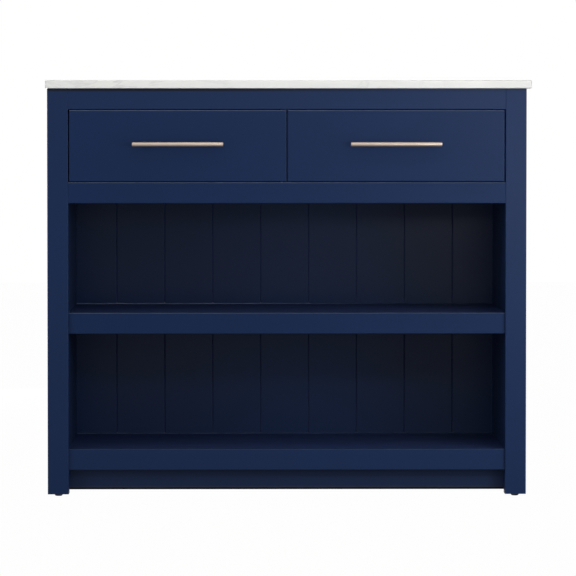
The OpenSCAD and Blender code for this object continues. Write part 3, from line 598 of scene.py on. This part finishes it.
def makePull(side, look=pullLook):
    # the bar's profile rises from a small hub over a straight bevel with eased corners to the full radius,
    # runs along the bar and falls in the same steps; a post's is a straight side with a beveled foot
    barLow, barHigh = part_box(side + "_pull_bar")
    postsLow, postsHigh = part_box(side + "_pull_posts")
    ease, bevel, softness, foot, hub = (look[key] for key in ("ease", "bevel", "softness", "foot", "endHub"))
    radius, length = (barHigh.z - barLow.z) / 2, barHigh.x - barLow.x
    centre = np.array([barLow.x, (barLow.y + barHigh.y) / 2, (barLow.z + barHigh.z) / 2])
    near = np.array([[hub, 0], [radius - bevel - ease, 0], [radius - bevel, softness],
                     [radius - softness, bevel], [radius, bevel + ease]])
    far = near[::-1] * [1, -1] + [0, length]
    bar = turned(np.concatenate([near, far]), look["barSegments"], "x", centre)
    postRadius = (postsHigh.z - postsLow.z) / 2
    spread, middle = (postsHigh.x - postsLow.x) / 2 - postRadius, (postsHigh.x + postsLow.x) / 2
    inBar = centre[1] - postsHigh.y + look["postGap"]  # a post ends just short of the bar's middle line
    shape = np.array([[hub, 0], [postRadius - foot, 0], [postRadius, -foot],
                      [postRadius, inBar], [hub, inBar]])
    posts = [turned(shape, look["postSegments"], "y", (middle + hand * spread, postsHigh.y, centre[2]))
             for hand in (-1, 1)]
    points, faces = joined([bar] + posts)
    pull = putMesh(side + "Pull", points, faces, champagne, side + "_drawer")
    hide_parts(side + "_pull_bar", side + "_pull_posts")


for side in ("left", "right"):
    makePull(side)
print("pulls made")

# Filler beads in the corners where the shelf and the bottom board meet the back. Their pale colour is a
# painted highlight of the light line along these corners, strongest at -X and fading towards +X. A wave is
# its rate, height and shift.
beadLook = {"leg": 2.0 * mm, "swell": 0.35, "swellWidth": 3.0 * mm, "grooves": 8,
            "groovePitch": 110.6 * mm, "ripple": 0.10, "waves": ((61.0, 1.0, 0.0), (149.0, 0.6, 1.3)),
            "embed": 0.1 * mm, "steps": 420, "arcSteps": 9, "beadHighlightColour": (0.20, 0.225, 0.37),
            "painted": (0.020, 0.034, 0.085), "highlightFade": (-0.30, 0.22), "lumps": (120.0, 3.0, 0.6),
            "patches": (0.3, 0.65, 0.6, 1.0), "roughness": (0.30, 0.42), "depth": 0.15 * mm}


def makeBeadFiller(name, highlightStrength, look=beadLook):
    material, tree, shader, place = newMaterial(name)
    lumps = noiseAt(tree, place, *look["lumps"])
    # painted highlight: the pale colour, fading out towards +X
    beadHighlight = times(tree, remap(tree, split(tree, place)["X"], *look["highlightFade"], highlightStrength, 0.0),
                      remap(tree, lumps, *look["patches"]))
    feed(tree, shader, colour=blendColour(tree, beadHighlight, rgba(look["painted"]), rgba(look["beadHighlightColour"])),
         roughness=remap(tree, lumps, *noiseSpan, *look["roughness"]),
         normal=bumpFrom(tree, lumps, look["depth"]))
    return material


def makeBead(name, board, highlightStrength, look=beadLook):
    # a hollow quarter round carried along X; its leg grows by a bell curve at the foot of each groove and
    # by slow waves
    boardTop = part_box(board)[1].z
    wallLeft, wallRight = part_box("left_side_panel")[1].x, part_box("right_side_panel")[0].x
    embed = look["embed"]
    along = np.linspace(wallLeft - embed, wallRight + embed, look["steps"])
    count = look["grooves"]
    grooves = (wallLeft + wallRight) / 2 + (np.arange(count) - (count - 1) / 2) * look["groovePitch"]
    swell = np.exp(-((along[:, None] - grooves) / look["swellWidth"]) ** 2).sum(1)
    wave = sum(height * np.sin(along * rate + shift) for rate, height, shift in look["waves"])
    leg = (look["leg"] * (1 + look["swell"] * swell + look["ripple"] * wave))[:, None]
    backFace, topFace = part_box("back_panel")[0].y + embed, boardTop - embed
    angle = np.radians(np.linspace(0.0, -90.0, look["arcSteps"]))
    corner = np.ones_like(leg)
    back = np.concatenate([backFace - leg + leg * np.cos(angle), corner * backFace], 1)
    rise = np.concatenate([topFace + leg + leg * np.sin(angle), corner * topFace], 1)
    points = np.stack([np.broadcast_to(along[:, None], back.shape), back, rise], -1).reshape(-1, 3)
    ring = look["arcSteps"] + 1
    faces = gridFaces(len(along), ring, True).tolist()
    faces += [list(range(ring))[::-1], list(range(len(points) - ring, len(points)))]
    putMesh(name, points, faces, makeBeadFiller(name + "Filler", highlightStrength), "cabinet")


makeBead("shelfBead", "shelf_board", highlightStrength=1.0)
makeBead("bottomBead", "bottom_board", highlightStrength=0.25)
print("beads made")

# Bumpers: clear domes on the divider that the drawer fronts close against
bumperLook = {"radius": 3.2 * mm, "height": 1.5 * mm, "crown": 86.0, "rings": 9, "segments": 24,
              "sunk": 0.1 * mm, "aside": 5.2 * mm, "inset": 18.0 * mm}


def makeBumpers(look=bumperLook):
    # a flattened quarter circle turned round Y: radius times the cosine, height times the sine of the angle
    dividerLow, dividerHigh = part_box("drawer_divider")
    frontLow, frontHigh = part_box("left_drawer_front")
    angle = np.radians(np.linspace(0.0, look["crown"], look["rings"]))
    dome = np.stack([look["radius"] * np.cos(angle), -look["height"] * np.sin(angle)], -1)
    profile = np.concatenate([[[look["radius"], look["sunk"]]], dome])
    middle = (dividerLow.x + dividerHigh.x) / 2
    spots = [(middle + x, dividerLow.y, z) for x in (-look["aside"], look["aside"])
             for z in (frontLow.z + look["inset"], frontHigh.z - look["inset"])]
    points, faces = joined([turned(profile, look["segments"], "y", spot) for spot in spots])
    putMesh("dividerBumpers", points, faces, bumperRubber, "cabinet")


makeBumpers()

# Runner caps: dark nylon clips on the front ends of the cabinet rails, their front arrises eased; their
# dark nylon is painted shade that keeps the gaps beside the drawer fronts dark
capLook = {"reach": 3.0 * mm, "web": 1.2 * mm, "flange": 1.5 * mm, "length": 1.4 * mm, "ease": 0.25 * mm,
           "overlap": 0.05 * mm}


def makeCaps(side, look=capLook):
    # a channel's outline carried forward along Y in three rings, the last one drawn in by the ease; the
    # right wall's cap is the left one mirrored, with its faces turned round
    railLow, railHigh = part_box(side + "_cabinet_rails")
    height, reach, web, flange = railHigh.z - railLow.z, look["reach"], look["web"], look["flange"]
    outline = np.array([[0, 0], [reach, 0], [reach, flange], [web, flange],
                        [web, height - flange], [reach, height - flange], [reach, height], [0, height]])
    inward = look["ease"] * np.array([[1, 1], [-1, 1], [-1, -1], [-1, -1],
                                      [-1, 1], [-1, 1], [-1, -1], [1, -1]])
    rings = [(outline, look["overlap"]), (outline, look["ease"] - look["length"]),
             (outline + inward, -look["length"])]
    sides, parts = len(outline), []
    for wall, hand in ((railLow.x, 1), (railHigh.x, -1)):
        points = np.concatenate([np.stack([wall + hand * ring[:, 0], np.full(sides, railLow.y + depth),
                                           railLow.z + ring[:, 1]], -1) for ring, depth in rings])
        faces = gridFaces(len(rings), sides, True)[:, ::hand].tolist()
        faces += [list(range(sides))[::-hand], list(range(2 * sides, 3 * sides))[::hand]]
        parts.append((points, faces))
    points, faces = joined(parts)
    putMesh(side + "RunnerCaps", points, faces, darkNylon, "cabinet", smooth=False)


for side in ("left", "right"):
    makeCaps(side)
print("bumpers and caps made")

# Camera: distance in front of the posts, place and aim across and up, and the width seen at the posts, in
# metres; the sensor is in millimetres
cameraLook = {"distance": 9.095, "aside": -0.1124, "height": 0.822, "aimAcross": -0.0013, "aimUp": 0.4590,
              "seenWidth": 1.2650, "sensor": 36.0, "clipEnd": 100.0}
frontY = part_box("front_left_post")[0].y


def pointAt(thing, position, target):
    thing.location = position
    thing.rotation_mode = "QUATERNION"
    thing.rotation_quaternion = (Vector(target) - Vector(position)).to_track_quat("-Z", "Y")


camera = bpy.data.objects.new("camera", bpy.data.cameras.new("camera"))
bpy.context.scene.collection.objects.link(camera)
bpy.context.scene.camera = camera
eye = Vector((cameraLook["aside"], frontY - cameraLook["distance"], cameraLook["height"]))
aim = Vector((cameraLook["aimAcross"], frontY, cameraLook["aimUp"]))
pointAt(camera, eye, aim)
camera.data.sensor_width = cameraLook["sensor"]
camera.data.lens = cameraLook["sensor"] * (aim - eye).length / cameraLook["seenWidth"]
camera.data.clip_end = cameraLook["clipEnd"]
print("camera set")

# World: white where it is seen or mirrored, and a softer light on matt surfaces that is stronger from the
# front right
worldLook = {"even": 0.28, "frontal": 0.14, "toward": (0.45, -0.80, 0.40)}
white = (1, 1, 1, 1)
world = bpy.data.worlds.new("studio")
bpy.context.scene.world = world
world.use_nodes = True
tree = world.node_tree
tree.nodes.clear()
heading = addNode(tree, "ShaderNodeTexCoord").outputs["Generated"]
lobe = calc(tree, "MAXIMUM", dot(tree, heading, tuple(Vector(worldLook["toward"]).normalized())), 0.0)
strength = plus(tree, worldLook["even"], times(tree, lobe, worldLook["frontal"]))
soft = addNode(tree, "ShaderNodeBackground", {"Color": white, "Strength": strength})
bright = addNode(tree, "ShaderNodeBackground", {"Color": white, "Strength": 1.0})
ray = addNode(tree, "ShaderNodeLightPath").outputs
seen = plus(tree, ray["Is Camera Ray"], ray["Is Glossy Ray"])
seen = plus(tree, seen, ray["Is Transmission Ray"], clamp=True)
mix = addNode(tree, "ShaderNodeMixShader", {0: seen, 1: soft.outputs[0], 2: bright.outputs[0]})
addNode(tree, "ShaderNodeOutputWorld", {0: mix.outputs[0]})

# Floor: pale grey under the light, seen as white with a trace of the object's shadow
floorLook = {"half": 12.0, "colour": 0.35, "seen": 0.985, "mirrored": 0.38}


def makeFloor(look=floorLook):
    half = look["half"]
    mesh = bpy.data.meshes.new("floor")
    corners = [(-half, -half, 0), (half, -half, 0), (half, half, 0), (-half, half, 0)]
    mesh.from_pydata(corners, [], [(0, 1, 2, 3)])
    floor = bpy.data.objects.new("floor", mesh)
    bpy.context.scene.collection.objects.link(floor)
    paleFloor = bpy.data.materials.new("paleFloor")
    paleFloor.use_nodes = True
    tree = paleFloor.node_tree
    tree.nodes.clear()
    matt = addNode(tree, "ShaderNodeBsdfDiffuse", {"Color": rgba((1, 1, 1), look["colour"])})
    glow = addNode(tree, "ShaderNodeEmission", {"Color": white, "Strength": 1.0})
    ray = addNode(tree, "ShaderNodeLightPath").outputs
    mirrored = plus(tree, ray["Is Glossy Ray"], ray["Is Transmission Ray"], clamp=True)
    seen = times(tree, ray["Is Camera Ray"], look["seen"])
    seen = plus(tree, seen, times(tree, mirrored, look["mirrored"]))
    mix = addNode(tree, "ShaderNodeMixShader", {0: seen, 1: matt.outputs[0], 2: glow.outputs[0]})
    addNode(tree, "ShaderNodeOutputMaterial", {0: mix.outputs[0]})
    mesh.materials.append(paleFloor)


makeFloor()
print("world and floor set")

# Lamps: place, point they aim at, width and height in metres, watts. All but strip and above stay lower
# than the worktop's face, so that its polish doesn't mirror them.
lampLook = {"strip": ((0.2, -1.05, 1.3), (0.15, frontY, 0.88), (1.7, 0.9), 3.6),
            "lowFill": ((0.0, -3.6, 0.25), (0.0, frontY, 0.3), (1.8, 0.3), 2.0),
            "rightFar": ((2.2, -3.0, 0.42), (0.0, frontY, 0.5), (1.0, 0.9), 12.4),
            "rightFront": ((0.85, -1.9, 0.84), (0.6, frontY, 0.85), (1.0, 0.14), 6.0),
            "rightTall": ((0.95, -0.9, 0.66), (0.5, frontY, 0.65), (0.3, 0.5), 2.3),
            "leftLow": ((-1.6, -1.4, 0.5), (-0.3, frontY, 0.5), (0.8, 0.8), 5.8),
            "above": ((0.0, 0.15, 2.6), (0.0, 0.15, 0.0), (1.2, 0.5), 8.5),
            "leftSide": ((-2.8, 0.35, 0.5), (-0.5, 0.0, 0.45), (1.0, 0.7), 12.0),
            "rightSide": ((2.8, 0.35, 0.5), (0.5, 0.0, 0.45), (1.0, 0.7), 12.0),
            "backFill": ((-1.4, 3.2, 0.45), (0.0, 0.2, 0.45), (1.6, 0.8), 42.0)}
for name, (position, target, size, watts) in lampLook.items():
    light = bpy.data.lights.new(name, "AREA")
    light.shape = "RECTANGLE"
    light.size, light.size_y = size
    light.energy = watts
    lamp = bpy.data.objects.new(name, light)
    bpy.context.scene.collection.objects.link(lamp)
    lamp.visible_camera = False
    pointAt(lamp, position, target)
print("lamps set:", len(lampLook))

bpy.context.scene.view_settings.view_transform = "Standard"
